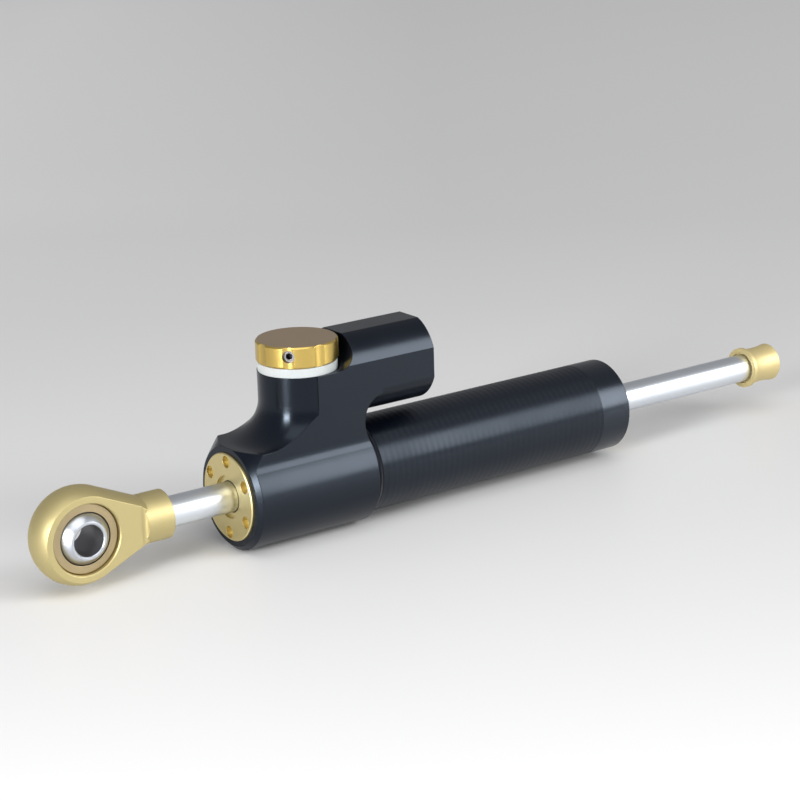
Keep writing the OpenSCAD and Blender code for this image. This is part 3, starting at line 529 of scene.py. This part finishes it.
@dataclass(frozen=True)
class Palette:
    """Every finish on the damper."""

    housing: Finish = Finish(
        "housing_black", BLACK_DYE, metallic=0.0, roughness=0.21, spread=0.03, ior=1.40, tint=BLACK_TINT,
        stretch=0.7, grain=Grain.MILLED, centre=KNOB_CENTRE, pitch=0.12 * MM, depth=0.0006 * MM,
        edge=0.25 * MM, turned=0.25,
    )
    tube: Finish = Finish(
        "tube_black", BLACK_DYE, metallic=0.0, roughness=0.37, spread=0.03, ior=1.47, tint=BLACK_TINT,
        stretch=0.8, grain=Grain.TURNED_X, pitch=0.15 * MM, depth=0.0006 * MM,
    )
    tube_band: Finish = Finish(
        "tube_band_black", BLACK_DYE, metallic=0.0, roughness=0.27, spread=0.03, ior=1.52,
        tint=BLACK_TINT, stretch=0.3, grain=Grain.TURNED_X, pitch=0.15 * MM, depth=0.0005 * MM,
    )
    plug: Finish = Finish(
        "plug_black", (0.003, 0.0035, 0.0055), metallic=0.0, roughness=0.3, spread=0.03, ior=1.47,
        tint=BLACK_TINT, stretch=0.4, grain=Grain.TURNED_X, centre=BARREL_CENTRE, pitch=0.12 * MM,
        depth=0.0008 * MM,
    )
    eye_gold: Finish = Finish(
        "eye_gold", (0.53, 0.45, 0.22), metallic=0.85, roughness=0.5, spread=0.03,
        grain=Grain.BLASTED, pitch=0.12 * MM, depth=0.004 * MM, edge=0.25 * MM,
    )
    gland_gold: Finish = Finish(
        "gland_gold", (0.78, 0.66, 0.33), roughness=0.38, spread=0.04,
        grain=Grain.BLASTED, pitch=0.1 * MM, depth=0.006 * MM, edge=0.12 * MM,
    )
    knob_gold: Finish = Finish(
        "knob_gold", (0.68, 0.49, 0.14), roughness=0.3, spread=0.03, stretch=0.3,
        grain=Grain.TURNED_Z, centre=KNOB_CENTRE, pitch=0.18 * MM, depth=0.002 * MM,
        # Browner, darker top: partly its own tone, partly painted shade for the dim backdrop it reflects.
        top_tone_and_shade=(0.54, 0.39, 0.23),
    )
    cap_gold: Finish = Finish(
        "cap_gold", (0.64, 0.53, 0.26), metallic=0.65, roughness=0.5, spread=0.03,
        grain=Grain.TURNED_X, pitch=0.15 * MM, depth=0.002 * MM,
    )
    chrome: Finish = Finish(
        "rod_chrome", (0.72, 0.76, 0.81), roughness=0.34, spread=0.02,
        grain=Grain.TURNED_X, pitch=0.08 * MM, depth=0.0001 * MM, edge=0.0,
    )
    ball_chrome: Finish = Finish(
        "ball_chrome", (0.56, 0.59, 0.64), roughness=0.3, spread=0.02,
        grain=Grain.TURNED_Y, centre=EYE_CENTRE, pitch=0.1 * MM, depth=0.0004 * MM, edge=0.12 * MM,
        bore=5.05 * MM, bore_colour=(0.22, 0.22, 0.23),
    )
    # Near-black painted shade for the recess of the grub screw's hexagon socket.
    socket: Finish = Finish(
        "socket_painted_shade", (0.02, 0.02, 0.021), metallic=0.0, roughness=0.5,
        grain=Grain.BLASTED, pitch=0.15 * MM,
    )
    bronze: Finish = Finish(
        "race_bronze", (0.45, 0.36, 0.21), roughness=0.34, spread=0.04, stretch=0.3,
        grain=Grain.TURNED_Y, centre=EYE_CENTRE, pitch=0.2 * MM, depth=0.003 * MM, edge=0.12 * MM,
    )
    bush: Finish = Finish(
        "bush_bronze", (0.50, 0.33, 0.16), roughness=0.4, spread=0.04,
        grain=Grain.TURNED_X, pitch=0.2 * MM,
    )
    steel: Finish = Finish(
        "plain_steel", (0.52, 0.53, 0.55), roughness=0.28, spread=0.04,
        grain=Grain.BLASTED, pitch=0.15 * MM, depth=0.001 * MM,
    )
    dark_steel: Finish = Finish(
        "dark_steel", (0.24, 0.24, 0.25), roughness=0.35,
        grain=Grain.BLASTED, pitch=0.15 * MM,
    )
    alloy: Finish = Finish(
        "plain_alloy", (0.66, 0.67, 0.69), roughness=0.3, spread=0.04, stretch=0.3,
        grain=Grain.TURNED_X, pitch=0.15 * MM, depth=0.001 * MM,
    )
    white: Finish = Finish(
        "white_plastic", (0.50, 0.53, 0.53), metallic=0.0, roughness=0.32, spread=0.04,
        grain=Grain.MOULDED, pitch=0.5 * MM, depth=0.003 * MM, edge=0.2 * MM, soft=0.15,
    )
    slide: Finish = Finish(
        "slide_plastic", (0.09, 0.15, 0.22), metallic=0.0, roughness=0.45, spread=0.04,
        grain=Grain.MOULDED, pitch=0.5 * MM,
    )
    liner: Finish = Finish(
        "liner_fabric", (0.05, 0.045, 0.04), metallic=0.0, roughness=0.8,
        grain=Grain.BLASTED, pitch=0.25 * MM, depth=0.02 * MM,
    )
    rubber: Finish = Finish(
        "black_rubber", (0.012, 0.012, 0.013), metallic=0.0, roughness=0.5,
        grain=Grain.MOULDED, pitch=0.4 * MM,
    )
    seal: Finish = Finish(
        "seal_rubber", (0.03, 0.03, 0.032), metallic=0.0, roughness=0.45,
        grain=Grain.MOULDED, pitch=0.4 * MM,
    )


class Bench:
    """Modelling steps that several pieces share."""

    @staticmethod
    def clear() -> None:
        """Deselects everything and leaves object mode."""
        if bpy.context.object is not None and bpy.context.object.mode != "OBJECT":
            bpy.ops.object.mode_set(mode="OBJECT")
        bpy.ops.object.select_all(action="DESELECT")

    @staticmethod
    def ring(name: str, station: float, radius: float, count: int) -> bpy.types.Object:
        """Starts a turned piece with one open ring round the X axis.

        Args:
            name: Name of the piece.
            station: Place along X.
            radius: Radius of the ring.
            count: Points round the ring.

        Returns:
            The new object, in edit mode with the ring selected.
        """
        Bench.clear()
        bpy.ops.mesh.primitive_circle_add(
            vertices=count, radius=radius, fill_type="NOTHING",
            location=(station, 0.0, 0.0), rotation=(0.0, math.pi / 2, 0.0),
        )
        piece = bpy.context.object
        piece.name = piece.data.name = name
        bpy.ops.object.transform_apply(location=True, rotation=True, scale=True)
        bpy.ops.object.mode_set(mode="EDIT")
        bpy.ops.mesh.select_all(action="SELECT")
        return piece

    @staticmethod
    def turn(start: tuple[float, float], profile: Sequence[tuple[float, float]]) -> None:
        """Extrudes the selected ring along a profile.

        Args:
            start: Place along X and radius of the selected ring.
            profile: Places and radii to go to, in order.
        """
        x0, r0 = start
        for x1, r1 in profile:
            bpy.ops.mesh.extrude_edges_move(TRANSFORM_OT_translate={"value": (x1 - x0, 0.0, 0.0)})
            if abs(r1 - r0) > SAME_PLACE:
                ratio = r1 / r0
                bpy.ops.transform.resize(value=(1.0, ratio, ratio), center_override=(x1, 0.0, 0.0))
            x0, r0 = x1, r1

    @staticmethod
    def select_ring(piece: bpy.types.Object, station: float) -> None:
        """Selects the points at one place along X.

        Args:
            piece: The piece, in edit mode.
            station: Place along X.
        """
        bpy.ops.mesh.select_mode(type="VERT")
        bpy.ops.mesh.select_all(action="DESELECT")
        bpy.ops.object.mode_set(mode="OBJECT")
        for point in piece.data.vertices:
            point.select = abs(point.co.x - station) < SAME_PLACE
        bpy.ops.object.mode_set(mode="EDIT")

    @staticmethod
    def finish_mesh(piece: bpy.types.Object, angle: float = 30.0) -> None:
        """Merges doubles, turns all faces outwards and shades the piece smooth up to an angle.

        Args:
            piece: The piece.
            angle: Largest angle in degrees that is shaded smooth.
        """
        if piece.mode != "EDIT":
            bpy.ops.object.mode_set(mode="EDIT")
        bpy.ops.mesh.select_all(action="SELECT")
        bpy.ops.mesh.remove_doubles(threshold=SAME_PLACE)
        bpy.ops.mesh.normals_make_consistent(inside=False)
        bpy.ops.object.mode_set(mode="OBJECT")
        bpy.ops.object.shade_smooth_by_angle(angle=math.radians(angle))
        Bench.clear()


@dataclass
class RibbedTube:
    """The outer tube with its fine turned ribs and the smooth band at its rear end.

    A length named _x is a distance behind the front gland's face.

    Attributes:
        radius: Outside radius.
        pilot_radius: Radius of the pilot that centres the tube in the housing.
        bore: Radius of the bore.
        recess: Radius of the rear gland's seat.
        thread_radius: Radius of the threaded front end.
        groove_radius: Radius at the bottom of the seal's groove.
        shoulder_x: Shoulder in front of the ribs.
        groove_x: Front side of the groove.
        groove_length: Length of the groove.
        pilot_x: Front end of the pilot.
        front_x: Front end of the tube.
        ribs_start_x: Start of the first rib.
        rib_pitch: Distance from rib to rib.
        rib_count: Number of ribs.
        rib_depth: Depth of the grooves between the ribs.
        rib_steps: Rings that model one groove.
        band_lead: Length of the smooth band's first ring.
        end_x: Rear end of the tube.
        chamfer: Chamfer at the rear end.
        gland_x: Bottom of the rear gland's seat.
        sides: Points round the tube.
    """

    radius: float = 15.9 * MM
    pilot_radius: float = 15.7 * MM
    bore: float = 13.5 * MM
    recess: float = 14.45 * MM
    thread_radius: float = 15.4 * MM
    groove_radius: float = 14.65 * MM
    shoulder_x: float = 49.7 * MM
    groove_x: float = 43.0 * MM
    groove_length: float = 1.3 * MM
    pilot_x: float = 42.05 * MM
    front_x: float = 36.05 * MM
    ribs_start_x: float = 50.0 * MM
    rib_pitch: float = 2.34 * MM
    rib_count: int = 40
    rib_depth: float = 0.06 * MM
    rib_steps: int = 6
    band_lead: float = 0.3 * MM
    end_x: float = 156.1 * MM
    chamfer: float = 0.8 * MM
    gland_x: float = 151.95 * MM
    sides: int = 128

    @property
    def band_start(self) -> float:
        """Place along X at which the ribs end and the smooth band begins."""
        return FACE_X + (self.ribs_start_x + self.rib_count * self.rib_pitch)

    def _rib(self) -> list[tuple[float, float]]:
        """One shallow groove, as offsets along X and drops of the radius.

        Returns:
            Pairs of offset and drop, the last at the next rib's start.
        """
        steps = self.rib_steps
        return [
            (self.rib_pitch * k / steps, self.rib_depth * 0.5 * (1 - math.cos(2 * math.pi * k / steps)))
            for k in range(1, steps + 1)
        ]

    def build(self) -> bpy.types.Object:
        """Models the tube.

        Returns:
            The finished piece.
        """
        start = FACE_X + self.ribs_start_x
        piece = Bench.ring("ribbed_tube", start, self.radius, self.sides)
        Bench.turn((start, self.radius), [(start + dx, self.radius - drop) for dx, drop in self._rib()])
        bpy.ops.object.mode_set(mode="OBJECT")
        bpy.ops.object.modifier_add(type="ARRAY")
        repeat = piece.modifiers[-1]
        repeat.count = self.rib_count
        repeat.use_relative_offset = False
        repeat.use_constant_offset = True
        repeat.constant_offset_displace = (self.rib_pitch, 0.0, 0.0)
        repeat.use_merge_vertices = True
        repeat.merge_threshold = SAME_PLACE
        bpy.ops.object.modifier_apply(modifier=repeat.name)
        bpy.ops.object.mode_set(mode="EDIT")
        self._rear(piece)
        self._front(piece, start)
        Bench.finish_mesh(piece)
        return piece

    def _rear(self, piece: bpy.types.Object) -> None:
        """Smooth band, chamfer, rim and bore behind the ribs.

        Args:
            piece: The tube so far, in edit mode.
        """
        Bench.select_ring(piece, self.band_start)
        end = FACE_X + self.end_x
        seat = FACE_X + self.gland_x
        Bench.turn(
            (self.band_start, self.radius),
            [
                (self.band_start + self.band_lead, self.radius),
                (end - self.chamfer, self.radius),
                (end, self.radius - self.chamfer),
                (end, self.recess),
                (seat, self.recess),
                (seat, self.bore),
                (FACE_X + self.front_x, self.bore),
            ],
        )

    def _front(self, piece: bpy.types.Object, ribs_start: float) -> None:
        """Shoulder, pilot, seal groove and threaded end in front of the ribs, closed at the bore.

        Args:
            piece: The tube so far, in edit mode.
            ribs_start: Place along X of the first rib's start.
        """
        Bench.select_ring(piece, ribs_start)
        shoulder = FACE_X + self.shoulder_x
        groove = FACE_X + self.groove_x
        pilot = FACE_X + self.pilot_x
        front = FACE_X + self.front_x
        Bench.turn(
            (ribs_start, self.radius),
            [
                (shoulder, self.radius),
                (shoulder, self.pilot_radius),
                (groove + self.groove_length, self.pilot_radius),
                (groove + self.groove_length, self.groove_radius),
                (groove, self.groove_radius),
                (groove, self.pilot_radius),
                (pilot, self.pilot_radius),
                (pilot, self.thread_radius),
                (front, self.thread_radius),
                (front, self.bore),
            ],
        )

    def dress(self, piece: bpy.types.Object, dresser: Dresser, palette: Palette) -> None:
        """Dresses the tube, with its smooth rear band glossier than its ribs.

        Args:
            piece: The finished tube.
            dresser: Maker of the materials.
            palette: The finishes.
        """
        band_start = self.band_start
        dresser.dress(piece, palette.tube)
        dresser.dress_part(piece, palette.tube_band, lambda centre: centre.x > band_start)


@dataclass
class CoilSpring:
    """The reservoir's spring between the floating piston and the plug.

    Attributes:
        node: The CAD node that it stands for.
        moving: The body that its front end would follow. Not used.
        fixed: The body that its rear end rests on. Not used.
    """

    node: str = "reservoir_spring"
    moving: str = "floating_piston"
    fixed: str = "housing"

    def build(self) -> bpy.types.Object:
        """Makes the spring from a copy of its CAD mesh.

        Returns:
            The finished piece.
        """
        Bench.clear()
        piece = bpy.data.objects.new("reservoir_coil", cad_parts[self.node].data.copy())
        bpy.context.scene.collection.objects.link(piece)
        bpy.context.view_layer.objects.active = piece
        piece.select_set(True)
        Bench.finish_mesh(piece)
        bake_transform(piece)
        return piece

    def dress(self, piece: bpy.types.Object, dresser: Dresser, palette: Palette) -> None:
        """Dresses the spring as plain steel wire."""
        dresser.dress(piece, palette.steel)


@dataclass
class Damper:
    """The whole damper: which piece gets which finish, and which pieces are modelled anew.

    Attributes:
        dresser: Maker of the materials.
        palette: The finishes.
        tube: The ribbed outer tube.
        coil: The reservoir's spring.
        screw_axis: Direction in which the knob's grub screw looks.
        socket_radius: Radius round that direction inside which the screw's faces are its socket, which gets
            painted shade.
    """

    dresser: Dresser
    palette: Palette = field(default_factory=Palette)
    tube: RibbedTube = field(default_factory=RibbedTube)
    coil: CoilSpring = field(default_factory=CoilSpring)
    screw_axis: Point = (-1.0, -1.0, 0.0)
    socket_radius: float = 1.15 * MM

    def finishes(self) -> dict[str, Finish]:
        """The finish of each CAD node.

        Returns:
            Finishes by node name.
        """
        p = self.palette
        return {
            "valve_housing": p.housing, "outer_tube": p.tube, "inner_cylinder": p.alloy,
            "tube_oring": p.rubber, "front_gland": p.gland_gold, "front_wiper": p.rubber,
            "front_rod_seal": p.seal, "front_rod_bush": p.bush, "front_gland_oring": p.rubber,
            "rear_gland": p.gland_gold, "rear_wiper": p.rubber, "rear_rod_seal": p.seal,
            "rear_rod_bush": p.bush, "rear_gland_oring": p.rubber, "piston_rod": p.chrome,
            "piston": p.alloy, "piston_circlips": p.dark_steel, "piston_band": p.slide,
            "rod_end": p.eye_gold, "bearing_race": p.bronze, "bearing_liner": p.liner,
            "bearing_ball": p.ball_chrome, "rod_stop_cap": p.cap_gold, "reservoir_piston": p.alloy,
            "reservoir_piston_oring": p.rubber, "reservoir_spring": p.steel, "reservoir_plug": p.plug,
            "plug_oring": p.rubber, "plug_circlip": p.dark_steel, "fill_screw": p.steel,
            "valve_bush": p.bush, "valve_spindle": p.steel, "spindle_oring": p.rubber,
            "spindle_circlip": p.dark_steel, "knob_ring": p.white, "adjuster_knob": p.knob_gold,
            "knob_grub_screw": p.dark_steel, "detent_ball": p.steel, "detent_spring": p.steel,
        }

    def dress_nodes(self) -> dict[str, Finish]:
        """Dresses every CAD node.

        Returns:
            The finish that each node got, by node name.
        """
        finishes = self.finishes()
        for node, finish in finishes.items():
            self.dresser.dress(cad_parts[node], finish)
        self._paint_socket_shade()
        return finishes

    def _paint_socket_shade(self) -> None:
        """Paints shade into the hexagon socket in the knob's grub screw with a near-black finish."""
        low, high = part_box("knob_grub_screw")
        middle = Vector((KNOB_CENTRE[0], 0.0, (low[2] + high[2]) / 2))
        axis = Vector(self.screw_axis).normalized()
        self.dresser.dress_part(
            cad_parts["knob_grub_screw"], self.palette.socket,
            lambda centre: (centre - middle).cross(axis).length < self.socket_radius,
        )

    def add_tube(self) -> bpy.types.Object:
        """Puts the ribbed tube in the place of the plain one.

        Returns:
            The new piece.
        """
        tube = self.tube.build()
        self.tube.dress(tube, self.dresser, self.palette)
        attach(tube, "housing")
        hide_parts("outer_tube")
        return tube

    def add_coil(self) -> bpy.types.Object:
        """Puts a smoothed copy of the spring in the place of the CAD one.

        Returns:
            The new piece.
        """
        coil = self.coil.build()
        self.coil.dress(coil, self.dresser, self.palette)
        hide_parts(self.coil.node)
        return coil


@dataclass(frozen=True)
class SoftBox:
    """One studio lamp.

    Attributes:
        name: Name of the lamp.
        azimuth: Direction from the object in degrees, 0 towards -Y and 90 towards +X.
        elevation: Height above the horizon in degrees.
        distance: Distance from the object.
        width: Width of the lamp's face.
        height: Height of the lamp's face.
        power: Power in watts.
    """

    name: str
    azimuth: float
    elevation: float
    distance: float
    width: float
    height: float
    power: float

    def build(self, aim: Vector) -> None:
        """Adds the lamp, turned to the object.

        Args:
            aim: The point that the lamp faces.
        """
        data = bpy.data.lights.new(self.name, "AREA")
        data.shape = "RECTANGLE"
        data.size, data.size_y = self.width, self.height
        data.energy = self.power
        lamp = bpy.data.objects.new(self.name, data)
        bpy.context.scene.collection.objects.link(lamp)
        a, e = math.radians(self.azimuth), math.radians(self.elevation)
        away = Vector((math.sin(a) * math.cos(e), -math.cos(a) * math.cos(e), math.sin(e)))
        lamp.location = aim + away * self.distance
        lamp.rotation_euler = (-away).to_track_quat("-Z", "Y").to_euler()


@dataclass
class Studio:
    """Pale floor, soft lamps, world light and the camera.

    Attributes:
        lamps: The lamps.
        lamp_aim: The point that the lamps face.
        world_light: Colour of the light from all round.
        floor_z: Height of the floor.
        floor_size: Side of the floor.
        floor_roughness: Roughness of the floor.
        floor_gloss: Strength of the floor's plain reflection.
        nearer: Direction on the floor towards the camera.
        leftwards: Direction on the floor towards the left of the picture.
        tone_span: Distances along nearer between which the floor's painted light tones lie.
        painted_light_tones: Places between 0 and 1 on that span, and the floor's tone at each, painted
            paler towards the camera in place of the light's falloff.
        corner_width: Distance leftwards over which the far left corner grows paler with painted light.
        corner_painted_light: Share by which it grows paler.
        corner_span: Distances along nearer between which that painted light fades out.
        camera_place: Place of the camera.
        camera_aim: The point at the middle of the picture.
        camera_roll: Roll of the camera in degrees.
        lens: Focal length in millimetres.
        sensor_width: Width of the sensor in millimetres.
        clip: Nearest and farthest distance that the camera sees.
    """

    lamps: tuple[SoftBox, ...] = (
        SoftBox(
            "left_strip", azimuth=-68.5, elevation=14.0, distance=2.6, width=0.6, height=0.8, power=66.0
        ),
        SoftBox(
            "right_box", azimuth=41.0, elevation=22.5, distance=2.8, width=1.4, height=1.7, power=61.0
        ),
        SoftBox(
            "top_sheet", azimuth=-28.0, elevation=62.0, distance=3.0, width=2.6, height=2.6, power=35.0
        ),
    )
    lamp_aim: Point = (-0.03, 0.0, 0.01)
    world_light: Colour = (0.34, 0.34, 0.345)
    floor_z: float = -17.95 * MM
    floor_size: float = 12.0
    floor_roughness: float = 0.45
    floor_gloss: float = 0.3
    nearer: Point = (-0.579, -0.815, 0.0)
    leftwards: Point = (-0.815, 0.579, 0.0)
    tone_span: Span = (-1.4, 0.3)
    painted_light_tones: tuple[tuple[float, float], ...] = (
        (0.0, 0.70), (0.28, 0.63), (0.46, 0.58), (0.58, 0.56), (0.68, 0.59), (0.74, 0.63),
        (0.80, 0.67), (0.85, 0.71), (0.89, 0.76), (0.925, 0.815), (0.95, 0.86), (0.97, 0.895),
    )
    corner_width: float = 0.32
    corner_painted_light: float = 0.22
    corner_span: Span = (-0.5, -0.15)
    camera_place: Point = (-454.85 * MM, -592.53 * MM, 236.50 * MM)
    camera_aim: Point = (-34.206 * MM, 0.0, 18.656 * MM)
    camera_roll: float = -1.729
    lens: float = 102.776
    sensor_width: float = 36.0
    clip: Span = (0.01, 50.0)

    def build(self) -> None:
        """Builds the studio."""
        bpy.context.scene.view_settings.view_transform = "Standard"
        for lamp in self.lamps:
            lamp.build(Vector(self.lamp_aim))
        self._world()
        self._floor()
        self._camera()

    def _world(self) -> None:
        """Even pale light from all round."""
        world = bpy.data.worlds.new("studio_world")
        world.use_nodes = True
        world.node_tree.nodes.clear()
        sketch = Sketch(world.node_tree)
        light = sketch.add("Background", {"Color": (*self.world_light, 1.0), "Strength": 1.0})
        sketch.add("OutputWorld", {"Surface": light.outputs[0]})
        bpy.context.scene.world = world

    def _floor(self) -> None:
        """Floor under the damper."""
        Bench.clear()
        bpy.ops.mesh.primitive_plane_add(size=self.floor_size, location=(0.0, 0.0, self.floor_z))
        floor = bpy.context.object
        floor.name = floor.data.name = "studio_floor"
        bpy.ops.object.transform_apply(location=True, rotation=True, scale=True)
        floor.data.materials.append(self._floor_material())
        Bench.clear()

    def _floor_material(self) -> bpy.types.Material:
        """Pale grey with painted light that grows paler towards the camera and in the far left corner.

        Returns:
            The floor's material.
        """
        material = bpy.data.materials.new("studio_floor")
        material.use_nodes = True
        material.node_tree.nodes.clear()
        sketch = Sketch(material.node_tree)
        place = sketch.add("TexCoord").outputs["Object"]
        # Painted light: the floor's tone grows paler towards the camera and in the far left corner,
        # standing in for how the studio light falls.
        near = sketch.vector("DOT_PRODUCT", place, self.nearer)
        left = sketch.vector("DOT_PRODUCT", place, self.leftwards)
        gain = sketch.math(
            "MULTIPLY",
            sketch.ramp(left, 0.0, self.corner_width, 0.0, self.corner_painted_light),
            sketch.ramp(near, *self.corner_span, 1.0, 0.0),
        )
        tone = sketch.add("ValToRGB", {0: sketch.ramp(near, *self.tone_span)})
        stops = tone.color_ramp.elements
        while len(stops) < len(self.painted_light_tones):
            stops.new(0.5)
        for stop, (where, value) in zip(stops, self.painted_light_tones):
            stop.position = where
            stop.color = (value, value, value, 1.0)
        scale = sketch.math("ADD", gain, 1.0)
        lit = sketch.add("VectorMath", {0: tone.outputs[0], "Scale": scale}, operation="SCALE")
        shader = sketch.add(
            "BsdfPrincipled",
            {
                "Base Color": lit.outputs[0],
                "Roughness": self.floor_roughness,
                "Specular IOR Level": self.floor_gloss,
            },
        )
        sketch.add("OutputMaterial", {"Surface": shader.outputs[0]})
        return material

    def _camera(self) -> None:
        """Camera at the photograph's viewing angle."""
        data = bpy.data.cameras.new("photo_camera")
        data.lens, data.sensor_width = self.lens, self.sensor_width
        data.clip_start, data.clip_end = self.clip
        camera = bpy.data.objects.new("photo_camera", data)
        bpy.context.scene.collection.objects.link(camera)
        place, aim = Vector(self.camera_place), Vector(self.camera_aim)
        back = (place - aim).normalized()
        right = Vector((0.0, 0.0, 1.0)).cross(back).normalized()
        up = back.cross(right)
        roll = math.radians(self.camera_roll)
        x = right * math.cos(roll) + up * math.sin(roll)
        y = up * math.cos(roll) - right * math.sin(roll)
        axes = Matrix((x, y, back)).transposed()
        camera.matrix_world = Matrix.Translation(place) @ axes.to_4x4()
        bpy.context.scene.camera = camera


def main() -> None:
    """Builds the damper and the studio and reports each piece."""
    logging.basicConfig(level=logging.INFO, format="%(name)s: %(message)s")
    damper = Damper(Dresser(Workshop()))
    for node, finish in damper.dress_nodes().items():
        log.info("%s: %s", node, finish.name)
    for piece in (damper.add_tube(), damper.add_coil()):
        log.info("%s: %d faces", piece.name, len(piece.data.polygons))
    studio = Studio()
    studio.build()
    log.info("studio: %d lamps, floor and camera", len(studio.lamps))


if __name__ == "__main__":
    main()
